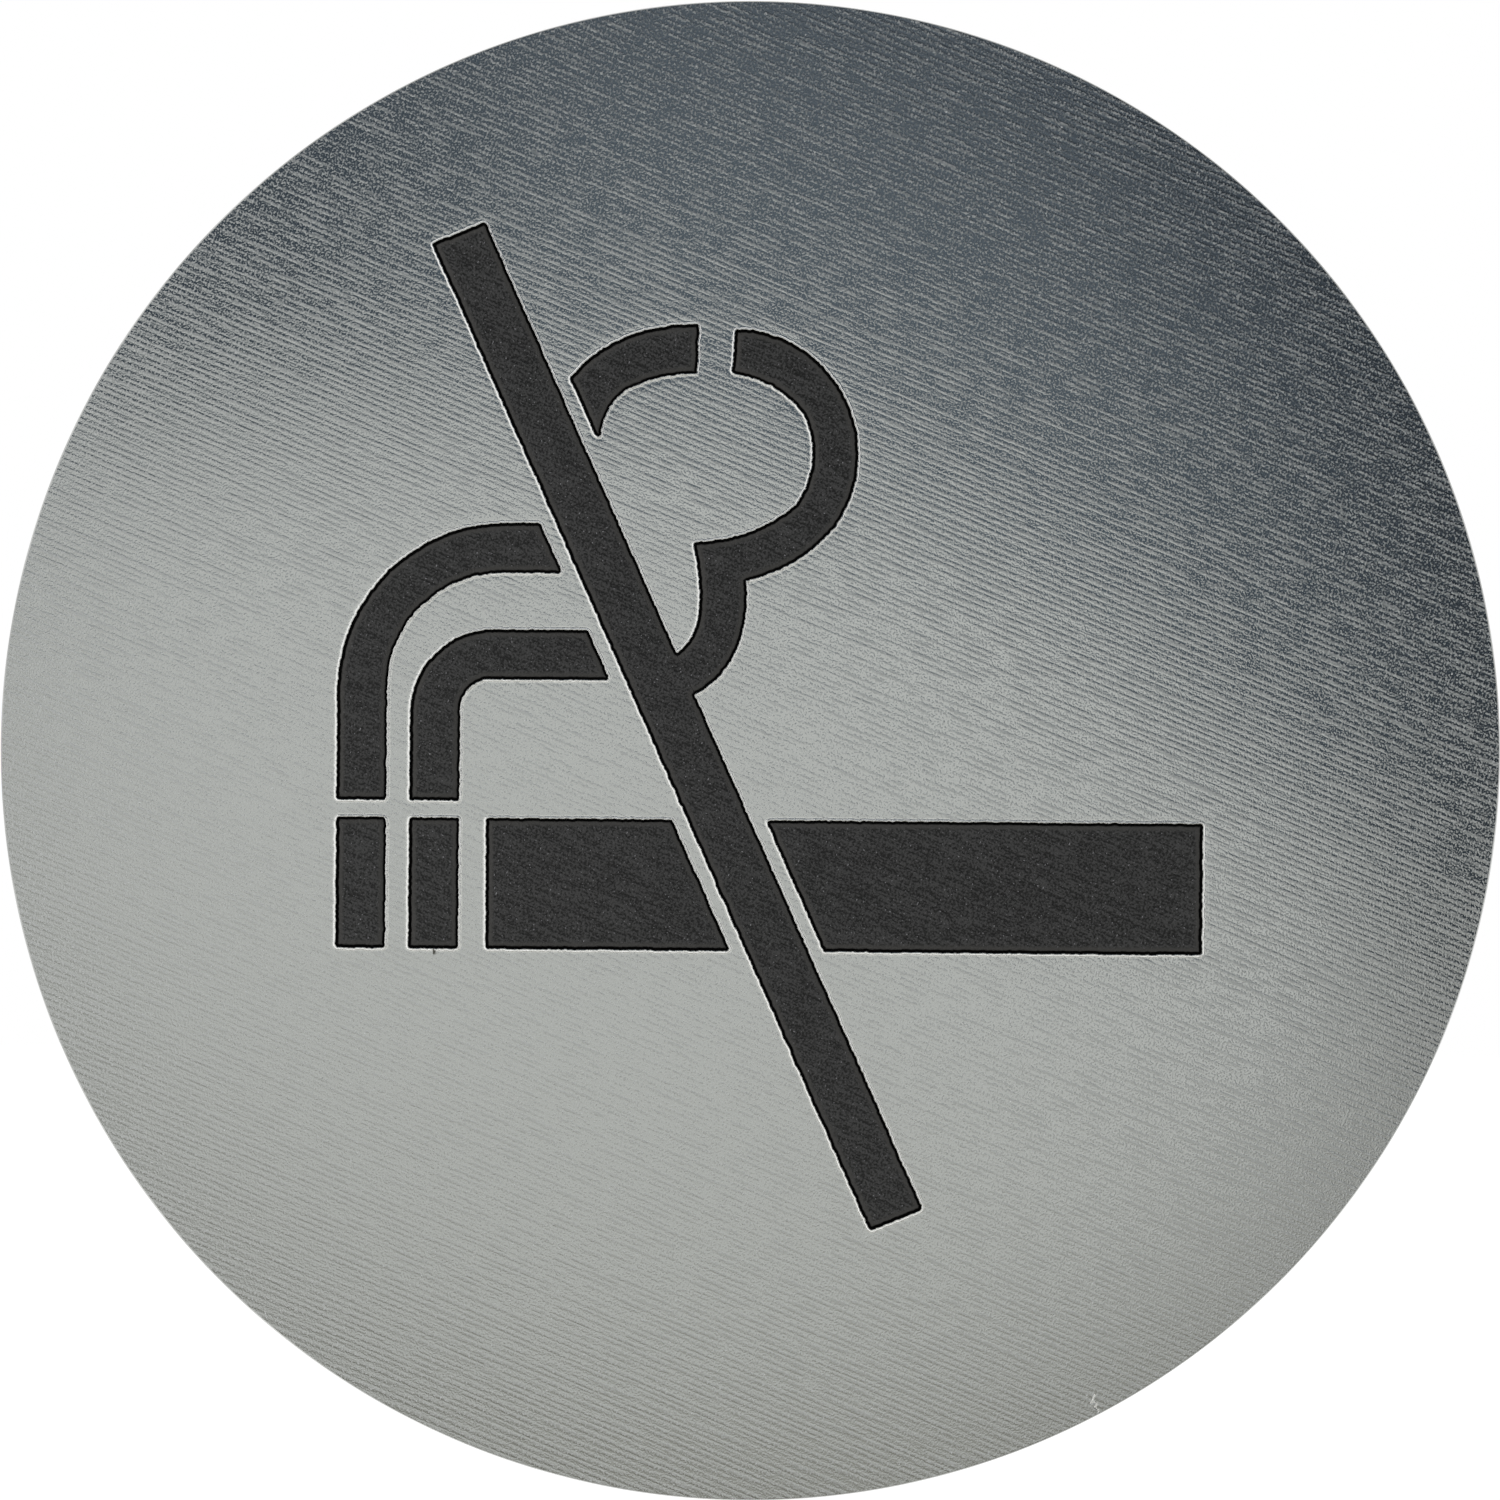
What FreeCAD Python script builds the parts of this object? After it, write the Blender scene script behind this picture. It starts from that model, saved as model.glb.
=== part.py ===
import FreeCAD, Part
import math
import os

from FreeCAD import Vector

# Round no smoking sign, upright, in millimetres: X to the right, Z up, front face towards -Y.
# The origin is the centre of the flat back face, which goes against the door or wall.
# The plate is one disc of stainless sheet. The pictogram is etched into its front as shallow recesses,
# and each recess holds its own field of black enamel.

# Plate
plate_diameter = 75.0
plate_thickness = 1.0
rim_radius = 0.1  # both rims are lightly rounded where the blanked edge was deburred

# Recesses and the enamel in them
etch_depth = 0.15
enamel_drop = 0.03  # the enamel's surface lies this far below the steel
corner_radius = 0.15  # the etch rounds every outward corner
stroke = 2.5  # width of the ember bands and the smoke trails

# Slash bar, from the upper left to the lower right
slash_centre_x = -3.65
slash_centre_z = 1.18
slash_length = 54.0
slash_width = 2.87
slash_lean = 24.4  # degrees from upright
slash_end_angle = 22.3  # degrees of both ends above level, so they are not quite square to the bar
slash_clearance = 0.7  # steel left bare on each side of the bar

# Cigarette: two ember bands and a bar, with its foot level
cigarette_left_x = -20.67
cigarette_length = 43.33
cigarette_foot_z = -10.02
cigarette_height = 6.55
band_gap = 1.15
bar_gap = 1.35

# Smoke trails, one above each band: a leg, a bend and a level run that stops at the slash
smoke_gap = 0.86
outer_trail_top_z = 11.29
outer_trail_bend = 8.45
outer_trail_inside_bend = 5.75
inner_trail_top_z = 5.96
inner_trail_bend = 4.2
inner_trail_inside_bend = 1.5

# Smoke cloud, as (x, z) points of chained arcs: start, middle, end, middle, end
# The left part is an arc that ends in a tip beside the slash.
# The right part is a curl whose stem runs down to the slash and meets it.
cloud_left_outside = [(-2.74, 21.33), (-4.39, 21.18), (-6.00, 20.79), (-7.88, 19.81), (-9.36, 18.29)]
cloud_left_inside = [(-7.58, 15.62), (-7.14, 17.17), (-5.98, 18.18), (-4.43, 18.67), (-2.81, 18.82)]
curl_outside = [(-0.93, 21.09), (4.60, 17.68), (4.14, 11.22), (2.18, 9.50), (-0.28, 8.50)]
stem_outside = [(-0.28, 8.50), (-0.28, 6.82), (-0.64, 5.30), (-1.47, 3.84), (-2.78, 2.77)]
stem_inside = [(-3.68, 4.86), (-2.93, 5.78), (-2.62, 6.92), (-2.64, 8.65), (-2.95, 10.40)]
curl_inside = [
    (-2.95, 10.40), (-0.18, 10.92), (2.17, 12.31), (2.98, 14.59), (2.45, 16.96), (0.87, 18.24), (-1.08, 18.85)
]

cigarette_top_z = cigarette_foot_z + cigarette_height
trail_foot_z = cigarette_top_z + smoke_gap
inner_column_x = cigarette_left_x + stroke + band_gap
bar_left_x = inner_column_x + stroke + bar_gap
front_y = -plate_thickness


def in_front_face(x, z):
    return Vector(x, front_y, z)


def outline(*runs):
    """Face bounded by the runs, each a chain of arcs, with a straight edge from each run to the next."""
    edges = []
    for run, following in zip(runs, runs[1:] + runs[:1]):
        points = [in_front_face(x, z) for x, z in run]
        for start, middle, end in zip(points[0::2], points[1::2], points[2::2]):
            edges.append(Part.Arc(start, middle, end).toShape())
        if run[-1] != following[0]:
            edges.append(Part.LineSegment(points[-1], in_front_face(*following[0])).toShape())
    return Part.Face(Part.Wire(edges))


def rectangle(left_x, foot_z, right_x, top_z):
    return outline([(left_x, foot_z)], [(left_x, top_z)], [(right_x, top_z)], [(right_x, foot_z)])


def rounded(face):
    """Round the outward corners: drawn in by the corner radius, then let out again with round joins."""
    return face.makeOffset2D(-corner_radius).makeOffset2D(corner_radius)


def slash_axis(z):
    """Point of the slash bar's middle line at height z."""
    return slash_centre_x - (z - slash_centre_z) * math.tan(math.radians(slash_lean)), z


def slash_strip(width, end_angle):
    """Strip along the slash bar, as long as the bar, with its ends at this angle above level."""
    lean = math.radians(slash_lean)
    end_skew = math.tan(math.radians(end_angle - slash_lean))
    corners = []
    for end, side in ((-1, -1), (-1, 1), (1, 1), (1, -1)):
        across = side * width / 2
        along = end * slash_length / 2 - across * end_skew
        x = slash_centre_x + across * math.cos(lean) + along * math.sin(lean)
        z = slash_centre_z + across * math.sin(lean) - along * math.cos(lean)
        corners.append([(x, z)])
    return outline(*corners)


def bend(corner_x, corner_z, radius):
    """Quarter arc that turns from upright at corner_x to level at corner_z."""
    half_turn = math.radians(90 / 2)
    inset = radius * (1 - math.cos(half_turn))
    return [
        (corner_x, corner_z - radius),
        (corner_x + inset, corner_z - inset),
        (corner_x + radius, corner_z),
    ]


def smoke_trail(left_x, top_z, outside_bend, inside_bend):
    under_z = top_z - stroke
    return outline(
        [(left_x, trail_foot_z)],
        bend(left_x, top_z, outside_bend),
        [slash_axis(top_z)],
        [slash_axis(under_z)],
        bend(left_x + stroke, under_z, inside_bend)[::-1],
        [(left_x + stroke, trail_foot_z)],
    )


def enamel_fields():
    """Every field of the pictogram by its name, as a face in the plane of the plate's front."""
    slash = slash_strip(slash_width, slash_end_angle)
    clear_strip = slash_strip(slash_width + 2 * slash_clearance, slash_lean)

    # The curl and the slash are etched as one recess, and a fine seam parts their enamel.
    curl = outline(
        curl_outside,
        stem_outside,
        [slash_axis(stem_outside[-1][1])],
        [slash_axis(stem_inside[0][1])],
        stem_inside,
        curl_inside,
    )
    slash_and_curl = rounded(slash.fuse(curl).removeSplitter().Faces[0])

    cloud_left = outline(
        cloud_left_outside,
        [slash_axis(cloud_left_outside[-1][1])],
        [slash_axis(cloud_left_inside[0][1])],
        cloud_left_inside,
    )
    outer_trail = smoke_trail(
        cigarette_left_x, outer_trail_top_z, outer_trail_bend, outer_trail_inside_bend
    )
    inner_trail = smoke_trail(
        inner_column_x, inner_trail_top_z, inner_trail_bend, inner_trail_inside_bend
    )
    bar = rectangle(
        bar_left_x, cigarette_foot_z, cigarette_left_x + cigarette_length, cigarette_top_z
    )
    bar_left, bar_right = sorted(bar.cut(clear_strip).Faces, key=lambda face: face.CenterOfMass.x)

    def band(left_x):
        return rounded(rectangle(left_x, cigarette_foot_z, left_x + stroke, cigarette_top_z))

    def clear_of_slash(face):
        return rounded(face.cut(clear_strip).Faces[0])

    return {
        "slash_bar": slash_and_curl.common(slash).Faces[0],
        "smoke_curl": slash_and_curl.cut(slash).Faces[0],
        "smoke_cloud_left": clear_of_slash(cloud_left),
        "smoke_trail_outer": clear_of_slash(outer_trail),
        "smoke_trail_inner": clear_of_slash(inner_trail),
        "ember_band_outer": band(cigarette_left_x),
        "ember_band_inner": band(inner_column_x),
        "cigarette_left": rounded(bar_left),
        "cigarette_right": rounded(bar_right),
    }


def plate_blank():
    """The plain disc with both rims rounded."""
    disc = Part.makeCylinder(plate_diameter / 2, plate_thickness, Vector(0, 0, 0), Vector(0, -1, 0))
    rims = [edge for edge in disc.Edges if isinstance(edge.Curve, Part.Circle)]
    return disc.makeFillet(rim_radius, rims)


def build():
    into_plate = Vector(0, 1, 0)
    fields = enamel_fields()
    recesses = [face.extrude(into_plate * etch_depth) for face in fields.values()]
    nodes = {"sign_plate": plate_blank().cut(recesses).Solids[0]}
    for name, face in fields.items():
        surface = face.translated(into_plate * enamel_drop)
        nodes[name] = surface.extrude(into_plate * (etch_depth - enamel_drop))
    return nodes


os.makedirs("parts", exist_ok=True)
for name, shape in build().items():
    shape.exportStep(os.path.join("parts", name + ".step"))
    print(name, round(shape.Volume, 3), "cubic millimetres")
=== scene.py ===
import math

import bpy
import numpy as np
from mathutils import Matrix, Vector, noise
from mathutils.geometry import delaunay_2d_cdt
from mathutils.kdtree import KDTree


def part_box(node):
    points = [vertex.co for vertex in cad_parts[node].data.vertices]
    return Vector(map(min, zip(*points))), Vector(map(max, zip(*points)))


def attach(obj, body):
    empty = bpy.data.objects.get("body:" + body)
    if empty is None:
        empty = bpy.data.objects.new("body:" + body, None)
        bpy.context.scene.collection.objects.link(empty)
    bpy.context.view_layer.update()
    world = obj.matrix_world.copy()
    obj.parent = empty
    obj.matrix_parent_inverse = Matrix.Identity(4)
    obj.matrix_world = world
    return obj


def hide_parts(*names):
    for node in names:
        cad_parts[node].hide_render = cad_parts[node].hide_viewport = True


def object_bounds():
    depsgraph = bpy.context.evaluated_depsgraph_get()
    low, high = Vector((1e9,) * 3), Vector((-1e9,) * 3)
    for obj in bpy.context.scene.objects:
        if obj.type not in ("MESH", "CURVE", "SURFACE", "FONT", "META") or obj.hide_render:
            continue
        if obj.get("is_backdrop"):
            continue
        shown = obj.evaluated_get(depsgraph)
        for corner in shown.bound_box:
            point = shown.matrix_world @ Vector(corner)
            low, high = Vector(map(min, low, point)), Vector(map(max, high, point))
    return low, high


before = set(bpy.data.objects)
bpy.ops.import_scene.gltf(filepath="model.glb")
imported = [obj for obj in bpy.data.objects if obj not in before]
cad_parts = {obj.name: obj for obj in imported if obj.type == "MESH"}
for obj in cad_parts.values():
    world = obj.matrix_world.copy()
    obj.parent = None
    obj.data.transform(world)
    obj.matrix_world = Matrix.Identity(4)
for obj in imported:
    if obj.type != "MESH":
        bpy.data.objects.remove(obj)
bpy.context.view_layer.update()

# The steel plate
# One disc of ferritic stainless sheet, blanked round, brushed on its front and etched with a shallow recess
# for each field of the pictogram. The etch eats unevenly, so the edges waver, and each carries a low burr
# that the last rub with the abrasive bent outward. Sizes are in millimetres.
MM = 0.001
plate_low, plate_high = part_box("sign_plate")
plate_radius = (plate_high.x - plate_low.x) / 2 / MM
front_y = plate_low.y / MM
rim_radius = 0.1
recess_floor_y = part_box("slash_bar")[1].y / MM
enamel_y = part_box("slash_bar")[0].y / MM

outline_spacing = 0.075
flat_tolerance = 0.0005
coarse_wave = (0.62, 0.034)  # length of the etch's waves along an edge, and how far they stray
fine_wave = (0.16, 0.045)
noise.seed_set(1)  # without a seed, each run would draw other waves

# The burr: distance out from the recess's edge, and height above the front. Its outer face is steep enough
# to mirror the white room past the card, which draws a light line round each field.
burr_profile = [
    (0.0, 0.02), (0.025, 0.028), (0.048, 0.027), (0.07, 0.011), (0.092, -0.005), (0.13, -0.008),
    (0.19, -0.006), (0.27, -0.002), (0.36, 0.0), (0.46, 0.0),
]
highlight_width = 0.16  # the part of it that carries a painted highlight, a lighter steel colour
highlight_fade = 0.05


def face_outlines(node, y):
    """Closed outlines, as (x, z) rows, of a node's flat face at this y."""
    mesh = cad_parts[node].data
    points = [(round(v.co.x / MM, 4), round(v.co.y / MM, 4), round(v.co.z / MM, 4)) for v in mesh.vertices]
    following = {}
    for polygon in mesh.polygons:
        corners = [points[i] for i in polygon.vertices]
        if all(abs(corner[1] - y) < flat_tolerance for corner in corners):
            flat = [(corner[0], corner[2]) for corner in corners]
            for start, end in zip(flat, flat[1:] + flat[:1]):
                if start in following.get(end, []):
                    following[end].remove(start)
                else:
                    following.setdefault(start, []).append(end)
    outlines = []
    while any(following.values()):
        start = min(point for point, ends in following.items() if ends)
        loop = [start]
        while following[loop[-1]]:
            loop.append(following[loop[-1]].pop())
        outlines.append(np.array(loop[:-1]))
    return outlines


def signed_area(loop):
    x, z = loop.T
    return (x * np.roll(z, -1) - np.roll(x, -1) * z).sum() / 2


def etched(loop):
    """The outline with evenly spaced points, anticlockwise, strayed as the etch strays."""
    if signed_area(loop) < 0:
        loop = loop[::-1]
    closed = np.vstack([loop, loop[:1]])
    lengths = np.hypot(*np.diff(closed, axis=0).T)
    along = np.concatenate([[0], np.cumsum(lengths)])
    count = round(along[-1] / outline_spacing)
    places = np.arange(count) * along[-1] / count
    even = np.column_stack([np.interp(places, along, closed[:, axis]) for axis in (0, 1)])
    strayed = []
    for x, z in even:
        point = Vector((x, z, 0))
        for length, reach in (coarse_wave, fine_wave):
            shift = noise.noise_vector(Vector((x, z, 0)) / length) * reach
            point += Vector((shift.x, shift.y, 0))
        strayed.append((point.x, point.y))
    return np.array(strayed)


def outward(loop):
    """Unit vectors that point out of an anticlockwise outline, one for each of its points."""
    along = np.roll(loop, -1, axis=0) - np.roll(loop, 1, axis=0)
    normals = np.column_stack([along[:, 1], -along[:, 0]])
    return normals / np.hypot(*normals.T)[:, None]


def tree_of(points):
    tree = KDTree(len(points))
    for index, (x, z) in enumerate(points):
        tree.insert((x, z, 0), index)
    tree.balance()
    return tree


nearest_share, nearest_slack = 0.97, 0.004


def offset_rings(loops, distances, side):
    """Points at each distance from the outlines, out of them (side 1) or into them (side -1).

    Where two stretches of outline come close, a point that lies nearer to another stretch is left out.
    """
    tree = tree_of(np.vstack(loops))
    points, reaches = [], []
    for loop in loops:
        normals = outward(loop) * side
        for distance in distances:
            for x, z in loop + normals * distance:
                if tree.find((x, z, 0))[2] > distance * nearest_share - nearest_slack:
                    points.append((x, z))
                    reaches.append(distance)
    return np.array(points).reshape(-1, 2), np.array(reaches)


fill_outlines = 1  # the kind of result that is asked for: triangles inside the outermost outline
same_point = 1e-7


def triangles(points, loops):
    """Delaunay triangles of the points, with the loops as fixed edges. loops are runs of point numbers."""
    edges = []
    for loop in loops:
        edges += list(zip(loop, np.roll(loop, -1).tolist()))
    made = delaunay_2d_cdt([Vector(p) for p in points], edges, [], fill_outlines, same_point)
    if len(made[0]) != len(points):
        raise ValueError(f"the outlines cross: {len(points)} points became {len(made[0])}")
    originals = [ids[0] for ids in made[3]]
    return [[originals[i] for i in face] for face in made[2]]


def inside(loop, points):
    """True for each point that lies inside the closed outline."""
    within = np.zeros(len(points), bool)
    for (x0, z0), (x1, z1) in zip(loop, np.roll(loop, -1, axis=0)):
        crosses = (z0 > points[:, 1]) != (z1 > points[:, 1])
        with np.errstate(divide="ignore", invalid="ignore"):
            within ^= crosses & (points[:, 0] < (x1 - x0) * (points[:, 1] - z0) / (z1 - z0) + x0)
    return within


def circle(radius, count):
    turns = np.arange(count) * math.tau / count
    return np.column_stack([np.cos(turns), np.sin(turns)]) * radius


def hexagonal_grid(radius, spacing):
    """Points inside this radius in staggered rows, each point as far from all of its neighbours."""
    rows = np.arange(-radius, radius, spacing * math.sin(math.radians(60)))
    points = [
        (x + spacing / 2 * (row % 2), z)
        for row, z in enumerate(rows)
        for x in np.arange(-radius, radius, spacing)
    ]
    points = np.array(points)
    return points[np.hypot(*points.T) < radius - spacing / 2]


sharp_edge = math.radians(45)


def make_piece(name, vertices, faces, materials):
    """Mesh object from corners in millimetres, smooth but for its real edges."""
    mesh = bpy.data.meshes.new(name)
    mesh.from_pydata([Vector(v) * MM for v in vertices], [], faces)
    mesh.validate()
    mesh.shade_smooth()
    mesh.set_sharp_from_angle(angle=sharp_edge)
    for material in materials:
        mesh.materials.append(material)
    piece = bpy.data.objects.new(name, mesh)
    bpy.context.scene.collection.objects.link(piece)
    return piece


# A short curled scratch near the foot shows bright against the brushed steel: its groove mirrors the white
# room, and its steel has a painted highlight, a lighter colour. Its profile is distance from its line, and
# height. A tick of spilt enamel crosses the foot edge of the inner ember band.
scratch = [
    (17.50, -32.04), (17.39, -32.28), (17.28, -32.51), (17.45, -32.42),
    (17.61, -32.49), (17.49, -32.66), (17.70, -32.84), (17.65, -33.03),
]
scratch_profile = [(0.0, -0.024), (0.022, -0.013), (0.045, 0.0)]
scratch_half_length = 1.0
scratch_surround = 0.15
scratch_spacing = 0.022
line_spacing = 0.01
tick = [(-15.75, -9.95), (-15.73, -10.3)]
tick_width = 0.05


def distances_from(line, points):
    """How far each point lies from an open line."""
    line = np.array(line)
    lengths = np.hypot(*np.diff(line, axis=0).T)
    along = np.concatenate([[0], np.cumsum(lengths)])
    places = np.linspace(0, along[-1], round(along[-1] / line_spacing) + 1)
    tree = tree_of(np.column_stack([np.interp(places, along, line[:, axis]) for axis in (0, 1)]))
    return np.array([tree.find((x, z, 0))[2] for x, z in points])


rim_count = 720
rim_margin = 1.0
front_grid_spacing = 2.0
front_grid_clearance = 1.2
inner_radius = plate_radius - rim_margin
recesses = [loop for loop in face_outlines("sign_plate", front_y) if np.hypot(*loop.T).max() < inner_radius]
recesses = [etched(loop) for loop in recesses]
burr_points, burr_reaches = offset_rings(recesses, [reach for reach, height in burr_profile[1:]], 1)
grid = hexagonal_grid(inner_radius, front_grid_spacing)
recess_tree = tree_of(np.vstack(recesses))
clear_of_recesses = [recess_tree.find((x, z, 0))[2] > front_grid_clearance for x, z in grid]
grid = grid[clear_of_recesses]
for loop in recesses:
    grid = grid[~inside(loop, grid)]

flat_radius = plate_radius - rim_radius
around_scratch = hexagonal_grid(scratch_half_length, scratch_spacing) + np.mean(scratch, axis=0)
around_scratch = around_scratch[distances_from(scratch, around_scratch) < scratch_surround]
around_scratch = around_scratch[np.hypot(*around_scratch.T) < flat_radius - scratch_spacing]
from_scratch = distances_from(scratch, around_scratch)
front_points = np.vstack([circle(flat_radius, rim_count), *recesses, burr_points, grid, around_scratch])
front_heights = np.zeros(len(front_points))
recess_runs = []
start = rim_count
for loop in recesses:
    recess_runs.append(list(range(start, start + len(loop))))
    start += len(loop)
front_heights[rim_count:start] = burr_profile[0][1]
profile_reaches, profile_heights = np.array(burr_profile).T
front_heights[start:start + len(burr_points)] = np.interp(burr_reaches, profile_reaches, profile_heights)
scratch_start = start + len(burr_points) + len(grid)
scratch_reaches, scratch_heights = np.array(scratch_profile).T
front_heights[scratch_start:] = np.interp(from_scratch, scratch_reaches, scratch_heights)

front_faces = triangles(front_points, [list(range(rim_count))] + recess_runs)
edge_points = start
in_recess = set()
maybe = [i for i, face in enumerate(front_faces) if all(rim_count <= p < edge_points for p in face)]
centres = np.array([front_points[front_faces[i]].mean(axis=0) for i in maybe])
for loop in recesses:
    in_recess |= {maybe[k] for k in np.flatnonzero(inside(loop, centres))}
front_faces = [face for i, face in enumerate(front_faces) if i not in in_recess]

# Corners and faces of the whole plate: front, recess walls and floors, rounded rim, back
vertices = [(x, front_y - height, z) for (x, z), height in zip(front_points, front_heights)]
faces = [list(face) for face in front_faces]
zones = [0] * len(faces)
# Painted highlight: the recess edges, the burrs and the scratch get a lighter steel colour
polish_highlight = [0.0] * len(vertices)
for index in range(rim_count, edge_points):
    polish_highlight[index] = 1.0
for index, reach in zip(range(edge_points, edge_points + len(burr_points)), burr_reaches):
    polish_highlight[index] = max(0.0, min(1.0, (highlight_width - reach) / highlight_fade))
for index, reach in enumerate(from_scratch, scratch_start):
    polish_highlight[index] = float(reach < scratch_reaches[-1])
stain = (distances_from(tick, front_points) < tick_width).astype(float).tolist()

for loop, run in zip(recesses, recess_runs):
    first = len(vertices)
    vertices += [(x, recess_floor_y, z) for x, z in loop]
    floor_run = list(range(first, first + len(loop)))
    for k in range(len(run)):
        after = (k + 1) % len(run)
        faces.append([run[k], floor_run[k], floor_run[after], run[after]])
        zones.append(1)
    for face in triangles(loop, [list(range(len(loop)))]):
        faces.append([floor_run[k] for k in face])
        zones.append(1)

rim_steps = 5
back_grid_spacing = 4.0
rim_rings = []
for quarter, centre_y in ((0, front_y + rim_radius), (90, -rim_radius)):
    for step in range(rim_steps + 1):
        turn = math.radians(quarter + 90 * step / rim_steps)
        ring_radius = flat_radius + rim_radius * math.sin(turn)
        rim_rings.append((ring_radius, centre_y - rim_radius * math.cos(turn)))
previous = list(range(rim_count))
for ring_radius, ring_y in rim_rings[1:]:
    ring = list(range(len(vertices), len(vertices) + rim_count))
    vertices += [(x, ring_y, z) for x, z in circle(ring_radius, rim_count)]
    for k in range(rim_count):
        after = (k + 1) % rim_count
        faces.append([previous[k], previous[after], ring[after], ring[k]])
        zones.append(2)
    previous = ring

back_grid = hexagonal_grid(inner_radius, back_grid_spacing)
back_points = np.vstack([circle(flat_radius, rim_count), back_grid])
first = len(vertices)
vertices += [(x, 0.0, z) for x, z in back_grid]
back_corners = previous + list(range(first, first + len(back_grid)))
for face in triangles(back_points, [list(range(rim_count))]):
    faces.append([back_corners[k] for k in reversed(face)])
    zones.append(3)


def linear(colour):
    """sRGB hex to the linear values that the shader works in."""
    parts = [int(colour[i:i + 2], 16) / 255 for i in (1, 3, 5)]
    return [p / 12.92 if p <= 0.04045 else ((p + 0.055) / 1.055) ** 2.4 for p in parts] + [1.0]


def add_node(tree, kind, settings=None, inputs=None):
    """Add a node with its settings. inputs maps a socket to a value or to another node's output."""
    made = tree.nodes.new(kind)
    for name, value in (settings or {}).items():
        setattr(made, name, value)
    for socket, value in (inputs or {}).items():
        if isinstance(value, bpy.types.NodeSocket):
            tree.links.new(value, made.inputs[socket])
        else:
            made.inputs[socket].default_value = value
    return made


def new_material(name):
    material = bpy.data.materials.new(name)
    material.use_nodes = True
    material.node_tree.nodes.clear()
    return material, material.node_tree


# Brushed stainless, rubbed in one direction on a belt: a satin grey of fine broken lines that run down to
# the right, with a speckle of grit between them, and a painted highlight, a lighter steel colour, on the
# burrs
grain_fall = math.radians(22.25)
line_period = 0.31  # real brush lines are finer, and this is as coarse as they need to be to show
line_wander = 10.0
line_waver = 3.2
line_breaks = (1.3, 0.22)  # length and width of the stretches over which a line comes and goes
grit_size = 0.1
nick_size = 0.17
grit_in_bump, grit_in_gloss, lines_in_shade = 0.5, 1.0, 0.45
nick_height = 3.0
brush_depth = 0.0055
smooth_roughness, scratched_roughness = 0.08, 0.56
smooth_below, scratched_above = 0.15, 1.65
grain_anisotropy = 0.4
steel_colour = "#DADCDC"
steel_shadow = "#C3C5C5"
highlight_colour = "#F4F4F2"
stain_colour = "#4B4A43"

brushed, tree = new_material("brushed_stainless_front")
place = add_node(tree, "ShaderNodeTexCoord")

# A sine across the grain whose phase wanders a little, so the lines are even but never quite straight
wander_scale = 1.85
wander_reach = line_wander * wander_scale
unit_period = math.tau / 20  # the wave node's own period
line_place = add_node(tree, "ShaderNodeMapping", {"vector_type": "TEXTURE"}, {
    "Vector": place.outputs["Object"],
    "Rotation": (0, grain_fall, 0),
    "Scale": [size * MM for size in (wander_reach, wander_reach, line_period / unit_period)],
})
lines = add_node(tree, "ShaderNodeTexWave", {"wave_type": "BANDS", "bands_direction": "Z"}, {
    "Vector": line_place.outputs[0], "Scale": 1.0, "Distortion": line_waver, "Detail": 1.0,
    "Detail Scale": wander_scale, "Detail Roughness": 0.5,
})

# The lines come and go, the abrasive's grit leaves a fine speckle between them, and a few grains left
# nicks. Each pattern has its length, width and detail, and the noise levels between which it sets in.
patterns = {}
for name, length, width, detail, low, high in (
    ("breaks", *line_breaks, 1.0, 0.16, 0.7),
    ("grit", grit_size, grit_size, 0.0, 0.45, 0.7),
    ("nicks", nick_size, nick_size, 0.0, 0.8, 0.86),
):
    pattern_place = add_node(tree, "ShaderNodeMapping", {"vector_type": "TEXTURE"}, {
        "Vector": place.outputs["Object"],
        "Rotation": (0, grain_fall, 0),
        "Scale": (length * MM, length * MM, width * MM),
    })
    pattern = add_node(tree, "ShaderNodeTexNoise", {}, {
        "Vector": pattern_place.outputs[0], "Scale": 1.0, "Detail": detail,
    })
    patterns[name] = add_node(tree, "ShaderNodeMapRange", {"interpolation_type": "SMOOTHSTEP"}, {
        "Value": pattern.outputs["Fac"], "From Min": low, "From Max": high,
    }).outputs[0]
broken_lines = add_node(tree, "ShaderNodeMath", {"operation": "MULTIPLY"}, {
    0: lines.outputs["Fac"], 1: patterns["breaks"],
}).outputs[0]
height = add_node(tree, "ShaderNodeMath", {"operation": "MULTIPLY_ADD"}, {
    0: patterns["grit"], 1: grit_in_bump, 2: broken_lines,
})
height = add_node(tree, "ShaderNodeMath", {"operation": "MULTIPLY_ADD"}, {
    0: patterns["nicks"], 1: nick_height, 2: height.outputs[0],
})
bump = add_node(tree, "ShaderNodeBump", {}, {
    "Height": height.outputs[0], "Strength": 1.0, "Distance": brush_depth * MM,
})

# A scratch or a grain's mark scatters light where the smooth steel between them mirrors it, so the marks
# stand out bright where the sign mirrors something dark, and hardly show where it mirrors light
scattered = add_node(tree, "ShaderNodeMath", {"operation": "MULTIPLY_ADD"}, {
    0: patterns["grit"], 1: grit_in_gloss, 2: broken_lines,
})
gloss = add_node(tree, "ShaderNodeMapRange", {}, {
    "Value": scattered.outputs[0], "From Min": smooth_below, "From Max": scratched_above,
    "To Min": smooth_roughness, "To Max": scratched_roughness,
})
marked = add_node(tree, "ShaderNodeMath", {"operation": "MULTIPLY_ADD"}, {
    0: broken_lines, 1: lines_in_shade, 2: patterns["grit"],
})
shade = add_node(tree, "ShaderNodeMapRange", {}, {
    "Value": marked.outputs[0], "From Max": 1 + lines_in_shade,
})
steel = add_node(tree, "ShaderNodeMix", {"data_type": "RGBA"}, {
    "Factor": shade.outputs[0], "A": linear(steel_shadow), "B": linear(steel_colour),
})
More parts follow.
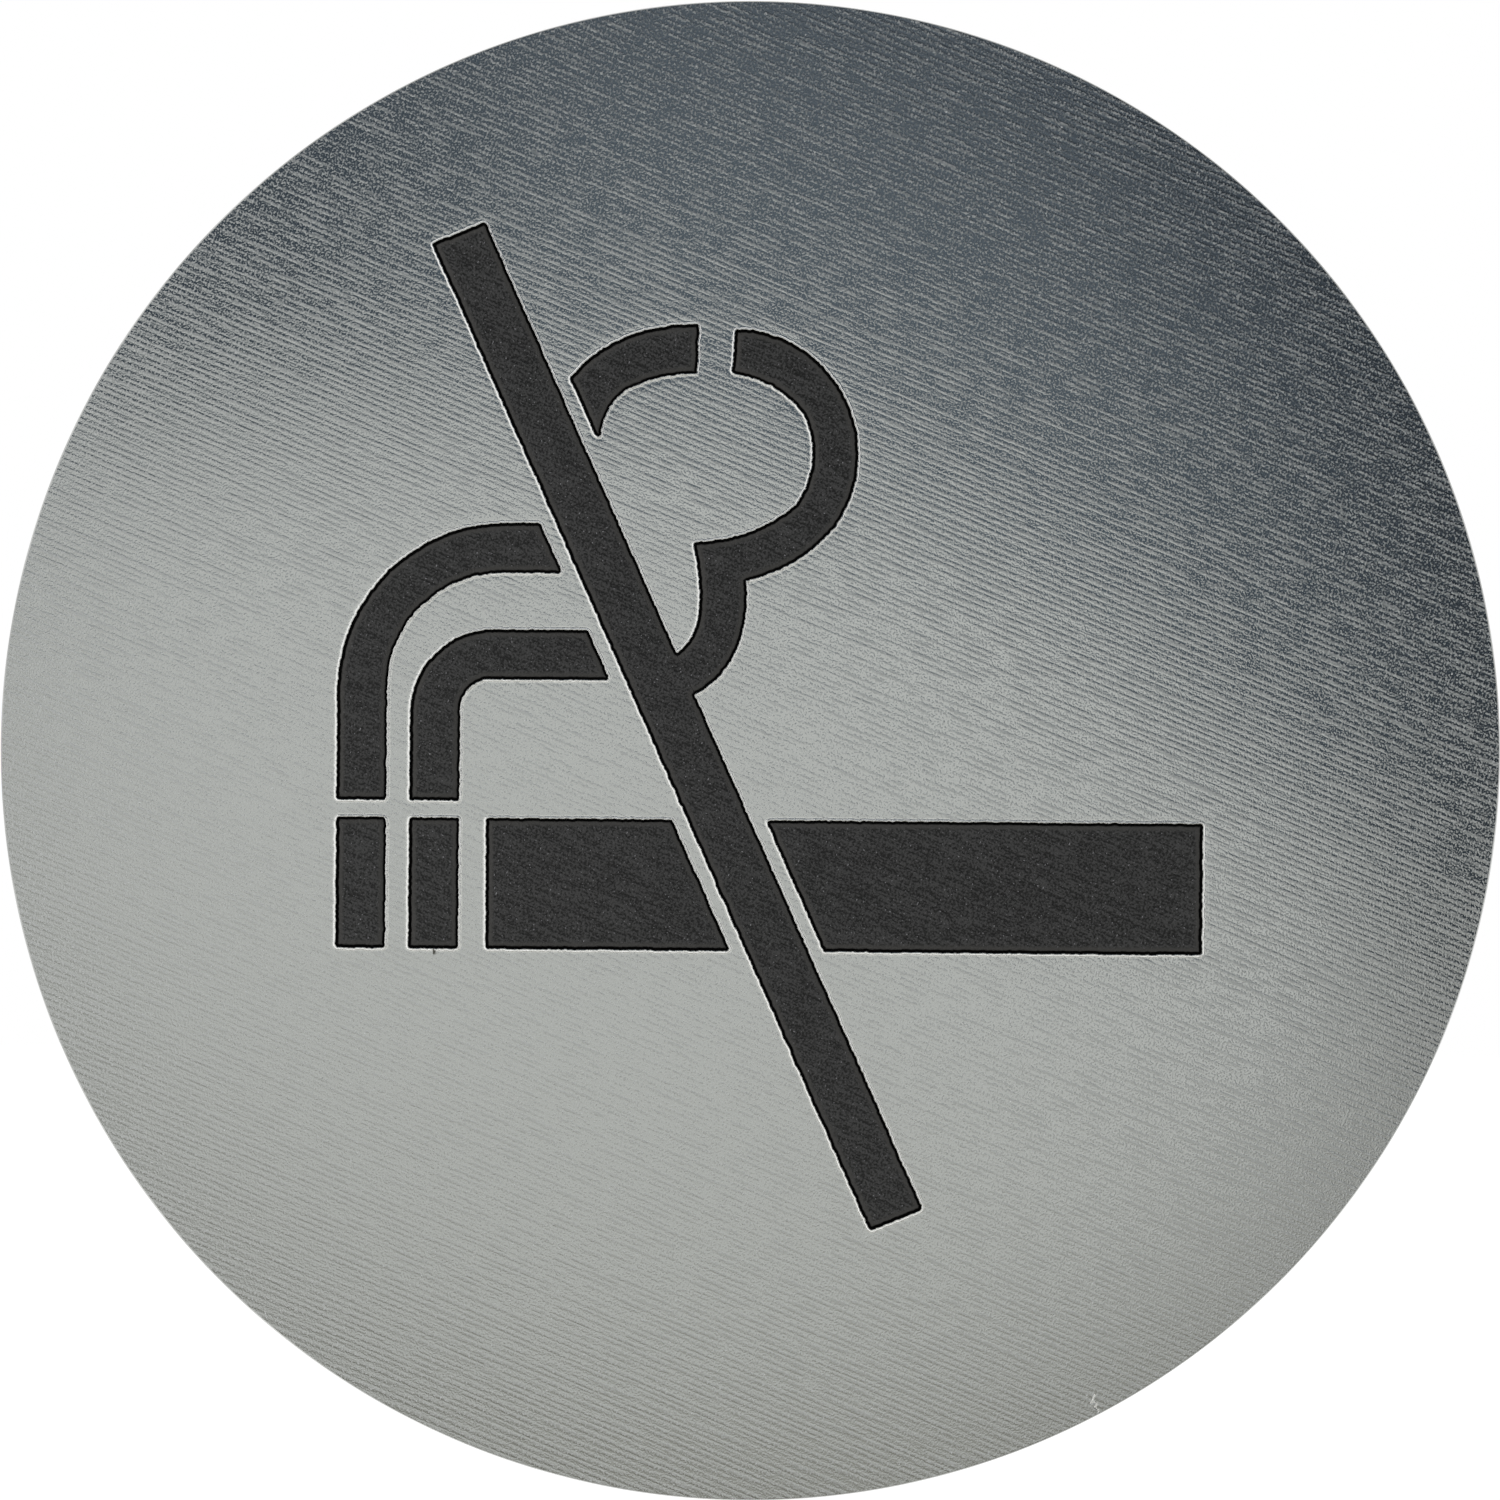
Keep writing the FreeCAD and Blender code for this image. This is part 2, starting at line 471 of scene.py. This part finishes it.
# Painted highlight: a lighter steel colour on the burrs and in the scratch, over the real mirror of their
# faces
highlight_mask = add_node(tree, "ShaderNodeAttribute", {"attribute_name": "polish_highlight"})
highlighted = add_node(tree, "ShaderNodeMix", {"data_type": "RGBA"}, {
    "Factor": highlight_mask.outputs["Fac"], "A": steel.outputs["Result"], "B": linear(highlight_colour),
})
spilt = add_node(tree, "ShaderNodeAttribute", {"attribute_name": "stain"})
stained = add_node(tree, "ShaderNodeMix", {"data_type": "RGBA"}, {
    "Factor": spilt.outputs["Fac"], "A": highlighted.outputs["Result"], "B": linear(stain_colour),
})
tangent = add_node(tree, "ShaderNodeTangent", {"direction_type": "UV_MAP", "uv_map": "grain"})
surface = add_node(tree, "ShaderNodeBsdfPrincipled", {}, {
    "Base Color": stained.outputs["Result"],
    "Metallic": 1.0,
    "Roughness": gloss.outputs[0],
    "Anisotropic": grain_anisotropy,
    "Tangent": tangent.outputs[0],
    "Normal": bump.outputs[0],
})
add_node(tree, "ShaderNodeOutputMaterial", {}, {"Surface": surface.outputs[0]})

# The recess walls and floors are etched steel that the enamel has stained: matt and nearly black
wall_grain = 0.08
stained_dark = "#0C0C0C"
stained_light = "#1F1E1D"
recess, tree = new_material("enamel_stained_recess")
place = add_node(tree, "ShaderNodeTexCoord")
grains = add_node(tree, "ShaderNodeTexNoise", {}, {
    "Vector": place.outputs["Object"], "Scale": 1 / (wall_grain * MM), "Detail": 1.0,
})
tone = add_node(tree, "ShaderNodeMix", {"data_type": "RGBA"}, {
    "Factor": grains.outputs["Fac"], "A": linear(stained_dark), "B": linear(stained_light),
})
surface = add_node(tree, "ShaderNodeBsdfPrincipled", {}, {
    "Base Color": tone.outputs["Result"], "Roughness": 0.75, "IOR": 1.45, "Specular IOR Level": 0.2,
})
add_node(tree, "ShaderNodeOutputMaterial", {}, {"Surface": surface.outputs[0]})

# The rim was turned and deburred, so it shines softly with fine lines that run round it. The back is as
# the mill rolled it: dull, with faint straight lines and a slight cloudiness. Each finish has the length
# of its lines along X, Y and Z.
cloud_size = 6.0
cloud_share = 0.5
darker_below, lighter_above = 0.55, 0.95
roughness_spread = 0.06
plain_finishes = []
for name, line_size, darker, lighter, roughness, depth in (
    ("turned_stainless_rim", (5.0, 0.035, 5.0), "#A9AAA8", "#CFD0CE", 0.27, 0.002),
    ("rolled_stainless_back", (9.0, 9.0, 0.12), "#A2A4A3", "#B9BABA", 0.38, 0.002),
):
    finish, tree = new_material(name)
    place = add_node(tree, "ShaderNodeTexCoord")
    line_place = add_node(tree, "ShaderNodeMapping", {"vector_type": "TEXTURE"}, {
        "Vector": place.outputs["Object"], "Scale": [size * MM for size in line_size],
    })
    lines = add_node(tree, "ShaderNodeTexNoise", {}, {
        "Vector": line_place.outputs[0], "Scale": 1.0, "Detail": 2.0,
    })
    clouds = add_node(tree, "ShaderNodeTexNoise", {}, {
        "Vector": place.outputs["Object"], "Scale": 1 / (cloud_size * MM), "Detail": 2.0,
    })
    both = add_node(tree, "ShaderNodeMath", {"operation": "MULTIPLY_ADD"}, {
        0: clouds.outputs["Fac"], 1: cloud_share, 2: lines.outputs["Fac"],
    })
    shade = add_node(tree, "ShaderNodeMapRange", {}, {
        "Value": both.outputs[0], "From Min": darker_below, "From Max": lighter_above,
    })
    tone = add_node(tree, "ShaderNodeMix", {"data_type": "RGBA"}, {
        "Factor": shade.outputs[0], "A": linear(darker), "B": linear(lighter),
    })
    gloss = add_node(tree, "ShaderNodeMapRange", {}, {
        "Value": clouds.outputs["Fac"],
        "To Min": roughness - roughness_spread, "To Max": roughness + roughness_spread,
    })
    bump = add_node(tree, "ShaderNodeBump", {}, {
        "Height": lines.outputs["Fac"], "Strength": 1.0, "Distance": depth * MM,
    })
    surface = add_node(tree, "ShaderNodeBsdfPrincipled", {}, {
        "Base Color": tone.outputs["Result"],
        "Metallic": 1.0,
        "Roughness": gloss.outputs[0],
        "Normal": bump.outputs[0],
    })
    add_node(tree, "ShaderNodeOutputMaterial", {}, {"Surface": surface.outputs[0]})
    plain_finishes.append(finish)

plate = make_piece("etched_steel_plate", vertices, faces, [brushed, recess, *plain_finishes])
plate.data.polygons.foreach_set("material_index", zones)
for name, values in (("polish_highlight", polish_highlight), ("stain", stain)):
    values = values + [0.0] * (len(vertices) - len(values))
    plate.data.attributes.new(name, "FLOAT", "POINT").data.foreach_set("value", values)
grain_map = plate.data.uv_layers.new(name="grain")
corner_vertices = np.empty(len(plate.data.loops), int)
plate.data.loops.foreach_get("vertex_index", corner_vertices)
flat_places = np.array(vertices)[corner_vertices][:, [0, 2]] / (2 * plate_radius)
along_x, along_z = math.cos(grain_fall), math.sin(grain_fall)
turned_places = flat_places @ np.array([[along_x, along_z], [-along_z, along_x]])
grain_map.data.foreach_set("uv", (turned_places + 0.5).ravel())
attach(plate, "root")
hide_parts("sign_plate")

# The black enamel
# Nine fields of black baking enamel, wiped into the recesses and cured. It sits just below the steel and
# has shrunk from the walls as it dried, which leaves a fine gap round each field, painted black as its
# shade.
# The last rub with the abrasive drew faint lines over it. The profile is distance in from the wall, and
# height.
enamel_profile = [
    (0.0, -0.11), (0.09, -0.11), (0.125, -0.06), (0.17, -0.034), (0.22, -0.018),
    (0.28, -0.007), (0.35, -0.001), (0.42, 0.0), (0.52, 0.0),
]
gap_width = 0.12
gap_fade = 0.05
# where the painted highlight inside each field's edge is full, and where it is gone
edge_full, edge_gone = 0.26, 0.42
seam_width = 0.035
seam_depth = 0.02
enamel_clearance = 0.002
mottle_size = 0.11
rub_length, rub_width = 1.4, 0.1
rub_share = 0.5
dark_below, light_above = 0.62, 0.88
uneven_height = 0.045
dust_size = 0.09
dust_from, dust_full = 0.77, 0.84
field_sheen, gap_shade_sheen = 0.5, 0.1
enamel_light = "#313131"
enamel_dark = "#010101"
# painted shade in the gap round each field
gap_shade_colour = "#010101"
# painted highlight on the enamel's slope just inside each field's edge
edge_highlight_colour = "#302F2D"
dust_colour = "#77777A"

# Black baking enamel: a dull black, faintly mottled and rubbed, with a few pale specks of dust in it
enamel, tree = new_material("black_baked_enamel")
place = add_node(tree, "ShaderNodeTexCoord")
patterns = {}
for name, length, width, detail in (
    ("mottle", mottle_size, mottle_size, 1.0),
    ("rubs", rub_length, rub_width, 1.0),
    ("dust", dust_size, dust_size, 0.0),
):
    pattern_place = add_node(tree, "ShaderNodeMapping", {"vector_type": "TEXTURE"}, {
        "Vector": place.outputs["Object"],
        "Rotation": (0, grain_fall, 0),
        "Scale": (length * MM, length * MM, width * MM),
    })
    patterns[name] = add_node(tree, "ShaderNodeTexNoise", {}, {
        "Vector": pattern_place.outputs[0], "Scale": 1.0, "Detail": detail,
    }).outputs["Fac"]
uneven = add_node(tree, "ShaderNodeMath", {"operation": "MULTIPLY_ADD"}, {
    0: patterns["rubs"], 1: rub_share, 2: patterns["mottle"],
})
shade = add_node(tree, "ShaderNodeMapRange", {}, {
    "Value": uneven.outputs[0], "From Min": dark_below, "From Max": light_above,
})
black = add_node(tree, "ShaderNodeMix", {"data_type": "RGBA"}, {
    "Factor": shade.outputs[0], "A": linear(enamel_dark), "B": linear(enamel_light),
})
dusty = add_node(tree, "ShaderNodeMapRange", {}, {
    "Value": patterns["dust"], "From Min": dust_from, "From Max": dust_full,
})
dusted = add_node(tree, "ShaderNodeMix", {"data_type": "RGBA"}, {
    "Factor": dusty.outputs[0], "A": black.outputs["Result"], "B": linear(dust_colour),
})
# Painted highlight: a lighter band just inside each field's edge, where the enamel slopes down to the gap
reach = add_node(tree, "ShaderNodeAttribute", {"attribute_name": "from_edge"})
edge_highlight = add_node(tree, "ShaderNodeMapRange", {}, {
    "Value": reach.outputs["Fac"], "From Min": edge_gone, "From Max": edge_full,
})
edge_highlighted = add_node(tree, "ShaderNodeMix", {"data_type": "RGBA"}, {
    "Factor": edge_highlight.outputs[0], "A": dusted.outputs["Result"], "B": linear(edge_highlight_colour),
})
# Painted shade: the gap round each field is coloured near black
gap_shade = add_node(tree, "ShaderNodeMapRange", {}, {
    "Value": reach.outputs["Fac"], "From Min": gap_width + gap_fade, "From Max": gap_width,
})
gap_shaded = add_node(tree, "ShaderNodeMix", {"data_type": "RGBA"}, {
    "Factor": gap_shade.outputs[0], "A": edge_highlighted.outputs["Result"], "B": linear(gap_shade_colour),
})

# Painted shade: the gap is deep and narrow, and its sheen is turned down to stand for the light it traps
sheen = add_node(tree, "ShaderNodeMapRange", {}, {
    "Value": gap_shade.outputs[0], "To Min": field_sheen, "To Max": gap_shade_sheen,
})
bump = add_node(tree, "ShaderNodeBump", {}, {
    "Height": uneven.outputs[0], "Strength": 1.0, "Distance": uneven_height * MM,
})
surface = add_node(tree, "ShaderNodeBsdfPrincipled", {}, {
    "Base Color": gap_shaded.outputs["Result"], "Roughness": 0.5, "IOR": 1.5,
    "Specular IOR Level": sheen.outputs[0], "Normal": bump.outputs[0],
})
add_node(tree, "ShaderNodeOutputMaterial", {}, {"Surface": surface.outputs[0]})

field_nodes = [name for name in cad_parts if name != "sign_plate"]
enamel_reaches, enamel_heights = np.array(enamel_profile).T
for name in sorted(field_nodes):
    loop = etched(face_outlines(name, enamel_y)[0])
    loop = loop - outward(loop) * enamel_clearance
    ring_points, ring_reaches = offset_rings([loop], [seam_width, *enamel_reaches[1:]], -1)
    count = len(loop)
    top_points = np.vstack([loop, ring_points])

    # The gap follows the recess's wall. Where two fields meet, there is only a shallow seam.
    from_wall = np.array([recess_tree.find((x, z, 0))[2] for x, z in top_points])
    heights = np.interp(from_wall, enamel_reaches, enamel_heights)
    from_outline = np.concatenate([np.zeros(count), ring_reaches])
    at_seam = (from_outline < seam_width) & (from_wall > seam_width)
    heights[at_seam] = np.minimum(heights[at_seam], -seam_depth)
    from_edge = np.where(at_seam, gap_width, from_wall)
    vertices = [(x, enamel_y - h, z) for (x, z), h in zip(top_points, heights)]
    faces = triangles(top_points, [list(range(count))])
    first = len(vertices)
    vertices += [(x, recess_floor_y, z) for x, z in loop]
    for k in range(count):
        after = (k + 1) % count
        faces.append([k, first + k, first + after, after])
    for face in triangles(loop, [list(range(count))]):
        faces.append([first + k for k in reversed(face)])
    piece = make_piece("enamel_" + name, vertices, faces, [enamel])
    from_edge = np.concatenate([from_edge, np.zeros(count)])
    piece.data.attributes.new("from_edge", "FLOAT", "POINT").data.foreach_set("value", from_edge)
    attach(piece, "root")
    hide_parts(name)

# The floor
# A plain pale floor, well below the sign, which is held by its back. To the camera and in mirrors it
# glows a little, so that it reads as white.
floor_z = -0.45
floor_half = 3.0
floor_glow = 0.25
pale, tree = new_material("pale_floor")
rays = add_node(tree, "ShaderNodeLightPath")
seen = add_node(tree, "ShaderNodeMath", {"operation": "MAXIMUM"}, {
    0: rays.outputs["Is Camera Ray"], 1: rays.outputs["Is Glossy Ray"],
})
seen = add_node(tree, "ShaderNodeMath", {"operation": "MAXIMUM"}, {
    0: seen.outputs[0], 1: rays.outputs["Is Transmission Ray"],
})
glow = add_node(tree, "ShaderNodeMath", {"operation": "MULTIPLY"}, {0: seen.outputs[0], 1: floor_glow})
surface = add_node(tree, "ShaderNodeBsdfPrincipled", {}, {
    "Base Color": linear("#F9F9F8"), "Roughness": 0.9, "Specular IOR Level": 0.0,
    "Emission Color": linear("#FFFFFF"), "Emission Strength": glow.outputs[0],
})
add_node(tree, "ShaderNodeOutputMaterial", {}, {"Surface": surface.outputs[0]})


def make_sheet(name, corners, material):
    """Flat sheet between four corners, in metres. It only sets the stage."""
    mesh = bpy.data.meshes.new(name)
    mesh.from_pydata(corners, [], [(0, 1, 2, 3)])
    mesh.materials.append(material)
    sheet = bpy.data.objects.new(name, mesh)
    bpy.context.scene.collection.objects.link(sheet)
    sheet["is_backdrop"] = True
    return sheet


def around(left, right, low, high):
    """Corners of a rectangle, in order round it."""
    return [(left, low), (right, low), (right, high), (left, high)]


floor_edges = around(-floor_half, floor_half, -floor_half, floor_half)
make_sheet("floor", [(x, y, floor_z) for x, y in floor_edges], pale)

# The camera
# Straight in front, at the distance at which the disc fills the square frame.
camera_data = bpy.data.cameras.new("camera")
camera_data.lens = 50
camera_data.sensor_width = 36
camera_data.clip_start = 0.001
camera = bpy.data.objects.new("camera", camera_data)
bpy.context.scene.collection.objects.link(camera)
half_frame = 37.52 * MM
aim_x, aim_z = -0.02 * MM, 0.033 * MM
rim_plane_y = (front_y + rim_radius) * MM
camera_distance = half_frame / (camera_data.sensor_width / 2 / camera_data.lens)
camera.location = (aim_x, rim_plane_y - camera_distance, aim_z)
camera_roll = math.radians(0.5)
camera.rotation_euler = (math.radians(90), -camera_roll, 0)
bpy.context.scene.camera = camera

# The front card
# A large graduated card behind the camera, which the brushed steel mirrors: light up to a bowed line, dark
# and cool above it and towards its sides there, and darker and warmer round its foot. Its sizes are as
# seen mirrored in the plate's front, in millimetres there.
card_y = -0.32
card_left, card_right = -55, 82
card_foot, card_top = -105, 300
line_top = 18.5
line_turn_x = -15
line_bow = 0.01156
card_tones = [  # height above the line, and the tone there
    (-40, "#DBDCD7"), (-12, "#E3E4E0"), (-1.5, "#E7E9E5"), (2.5, "#5C6771"), (10, "#66717A"),
    (20, "#68717A"), (40, "#2A3037"),
]
head_start, head_end = 95, 130
head_tone = "#E2E6EA"
tone_reach = 40
foot_centre = (-2.5, 7)
foot_squash = 1.15
foot_start, foot_end = 38.5, 57
foot_tone = "#9D9B97"
hem_start, hem_end = -33, -35
hem_tone = "#EDECE8"
side_centre = 4
side_start, side_end = 12, 45
side_below, side_above = 0, 2.2  # how much of the shade at the sides shows below and above the line
side_turn = 8
side_tone = "#B4B8BD"
mirror_scale = 1 + (front_y * MM - card_y) / camera_distance
card_material, tree = new_material("graduated_card")
place = add_node(tree, "ShaderNodeTexCoord")
mirrored = add_node(tree, "ShaderNodeMapping", {"vector_type": "TEXTURE"}, {
    "Vector": place.outputs["Object"], "Location": (0, card_y, 0), "Scale": [mirror_scale * MM] * 3,
})
axes = add_node(tree, "ShaderNodeSeparateXYZ", {}, {0: mirrored.outputs[0]})

# The line is level up to its turn, and falls ever faster from there
past_turn = add_node(tree, "ShaderNodeMath", {"operation": "SUBTRACT"}, {
    0: axes.outputs["X"], 1: line_turn_x,
})
past_turn = add_node(tree, "ShaderNodeMath", {"operation": "MAXIMUM"}, {0: past_turn.outputs[0], 1: 0.0})
squared = add_node(tree, "ShaderNodeMath", {"operation": "POWER"}, {0: past_turn.outputs[0], 1: 2.0})
bowed = add_node(tree, "ShaderNodeMath", {"operation": "MULTIPLY_ADD"}, {
    0: squared.outputs[0], 1: line_bow, 2: axes.outputs["Z"],
})
share = add_node(tree, "ShaderNodeMapRange", {}, {
    "Value": bowed.outputs[0], "From Min": line_top - tone_reach, "From Max": line_top + tone_reach,
})
tones = add_node(tree, "ShaderNodeValToRGB", {}, {"Fac": share.outputs[0]})
ramp = tones.color_ramp
while len(ramp.elements) < len(card_tones):
    ramp.elements.new(0.5)
for element, (height, tone) in zip(ramp.elements, card_tones):
    element.position = (height + tone_reach) / (2 * tone_reach)
    element.color = linear(tone)

# The foot darkens outward, in a half round and in a straight hem below it
below = add_node(tree, "ShaderNodeMath", {"operation": "SUBTRACT"}, {
    0: axes.outputs["Z"], 1: foot_centre[1],
})
below = add_node(tree, "ShaderNodeMath", {"operation": "MINIMUM"}, {0: below.outputs[0], 1: 0.0})
beside = add_node(tree, "ShaderNodeMath", {"operation": "SUBTRACT"}, {
    0: axes.outputs["X"], 1: foot_centre[0],
})
beside = add_node(tree, "ShaderNodeMath", {"operation": "MULTIPLY"}, {0: beside.outputs[0], 1: foot_squash})
from_centre = add_node(tree, "ShaderNodeCombineXYZ", {}, {0: beside.outputs[0], 1: below.outputs[0]})
distance = add_node(tree, "ShaderNodeVectorMath", {"operation": "LENGTH"}, {0: from_centre.outputs[0]})
foot_share = add_node(tree, "ShaderNodeMapRange", {}, {
    "Value": distance.outputs["Value"], "From Min": foot_start, "From Max": foot_end,
})
shaded = add_node(tree, "ShaderNodeMix", {"data_type": "RGBA", "blend_type": "MULTIPLY"}, {
    "Factor": foot_share.outputs[0], "A": tones.outputs[0], "B": linear(foot_tone),
})
hem_share = add_node(tree, "ShaderNodeMapRange", {}, {
    "Value": axes.outputs["Z"], "From Min": hem_start, "From Max": hem_end,
})
shaded = add_node(tree, "ShaderNodeMix", {"data_type": "RGBA", "blend_type": "MULTIPLY"}, {
    "Factor": hem_share.outputs[0], "A": shaded.outputs["Result"], "B": linear(hem_tone),
})

# Above the line the sides darken too, and high over the sign the card turns pale
aside = add_node(tree, "ShaderNodeMath", {"operation": "SUBTRACT"}, {0: axes.outputs["X"], 1: side_centre})
aside = add_node(tree, "ShaderNodeMath", {"operation": "ABSOLUTE"}, {0: aside.outputs[0]})
side_share = add_node(tree, "ShaderNodeMapRange", {}, {
    "Value": aside.outputs[0], "From Min": side_start, "From Max": side_end,
})
above_line = add_node(tree, "ShaderNodeMapRange", {}, {
    "Value": bowed.outputs[0], "From Min": line_top - side_turn, "From Max": line_top + side_turn,
    "To Min": side_below, "To Max": side_above,
})
side_share = add_node(tree, "ShaderNodeMath", {"operation": "MULTIPLY"}, {
    0: side_share.outputs[0], 1: above_line.outputs[0],
})
sided = add_node(tree, "ShaderNodeMix", {"data_type": "RGBA", "blend_type": "MULTIPLY"}, {
    "Factor": side_share.outputs[0], "A": shaded.outputs["Result"], "B": linear(side_tone),
})
head_share = add_node(tree, "ShaderNodeMapRange", {}, {
    "Value": axes.outputs["Z"], "From Min": head_start, "From Max": head_end,
})
headed = add_node(tree, "ShaderNodeMix", {"data_type": "RGBA"}, {
    "Factor": head_share.outputs[0], "A": sided.outputs["Result"], "B": linear(head_tone),
})
glow = add_node(tree, "ShaderNodeEmission", {}, {"Color": headed.outputs["Result"], "Strength": 1.0})
add_node(tree, "ShaderNodeOutputMaterial", {}, {"Surface": glow.outputs[0]})


def make_card(name, y, edges, material):
    """Upright card that only mirrors show."""
    card = make_sheet(name, [(x, y, z) for x, z in edges], material)
    card.visible_camera = False
    card.visible_diffuse = False
    card.visible_shadow = False


front_edges = around(*[side * mirror_scale * MM for side in (card_left, card_right, card_foot, card_top)])
make_card("graduated_card", card_y, front_edges, card_material)

# The back card
# A smaller soft card behind the sign, light below and grey above, gives its back something to mirror.
back_card_y = 0.3
back_card_half = 0.2
back_slant = 0.4
back_turn = (-0.7, 0.9)  # where the tone starts and ends to turn, as shares of half the card
back_tones = ("#E4E4E2", "#8D9195")
back_material, tree = new_material("soft_back_card")
place = add_node(tree, "ShaderNodeTexCoord")
axes = add_node(tree, "ShaderNodeSeparateXYZ", {}, {0: place.outputs["Object"]})
slanted = add_node(tree, "ShaderNodeMath", {"operation": "MULTIPLY_ADD"}, {
    0: axes.outputs["X"], 1: back_slant, 2: axes.outputs["Z"],
})
share = add_node(tree, "ShaderNodeMapRange", {"interpolation_type": "SMOOTHSTEP"}, {
    "Value": slanted.outputs[0],
    "From Min": back_card_half * back_turn[0], "From Max": back_card_half * back_turn[1],
})
tone = add_node(tree, "ShaderNodeMix", {"data_type": "RGBA"}, {
    "Factor": share.outputs[0], "A": linear(back_tones[0]), "B": linear(back_tones[1]),
})
glow = add_node(tree, "ShaderNodeEmission", {}, {"Color": tone.outputs["Result"], "Strength": 1.0})
add_node(tree, "ShaderNodeOutputMaterial", {}, {"Surface": glow.outputs[0]})

back_edges = around(-back_card_half, back_card_half, -back_card_half, back_card_half)
make_card("soft_back_card", back_card_y, back_edges, back_material)

# The lamp and the world
# One large soft lamp from the upper left gives the floor its shadow, and the world is a white room.
lamp_size = 0.35
lamp_power = 2.0
lamp_place = Vector((-0.35, -0.3, 0.5))
room_strength = 0.85
lamp_data = bpy.data.lights.new("soft_lamp", "AREA")
lamp_data.size = lamp_size
lamp_data.energy = lamp_power
lamp = bpy.data.objects.new("soft_lamp", lamp_data)
bpy.context.scene.collection.objects.link(lamp)
lamp.location = lamp_place
lamp.rotation_euler = (-lamp_place).to_track_quat("-Z", "Y").to_euler()
lamp.visible_glossy = False
lamp.visible_camera = False

world = bpy.data.worlds.new("white_room")
bpy.context.scene.world = world
world.use_nodes = True
tree = world.node_tree
tree.nodes.clear()
rays = add_node(tree, "ShaderNodeLightPath")
seen = add_node(tree, "ShaderNodeMath", {"operation": "MAXIMUM"}, {
    0: rays.outputs["Is Camera Ray"], 1: rays.outputs["Is Glossy Ray"],
})
seen = add_node(tree, "ShaderNodeMath", {"operation": "MAXIMUM"}, {
    0: seen.outputs[0], 1: rays.outputs["Is Transmission Ray"],
})
room = add_node(tree, "ShaderNodeBackground", {}, {"Color": linear("#FFFFFF"), "Strength": room_strength})
white = add_node(tree, "ShaderNodeBackground", {}, {"Color": linear("#FFFFFF"), "Strength": 1.0})
either = add_node(tree, "ShaderNodeMixShader", {}, {
    0: seen.outputs[0], 1: room.outputs[0], 2: white.outputs[0],
})
add_node(tree, "ShaderNodeOutputWorld", {}, {"Surface": either.outputs[0]})

bpy.context.scene.view_settings.view_transform = "Standard"

low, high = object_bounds()
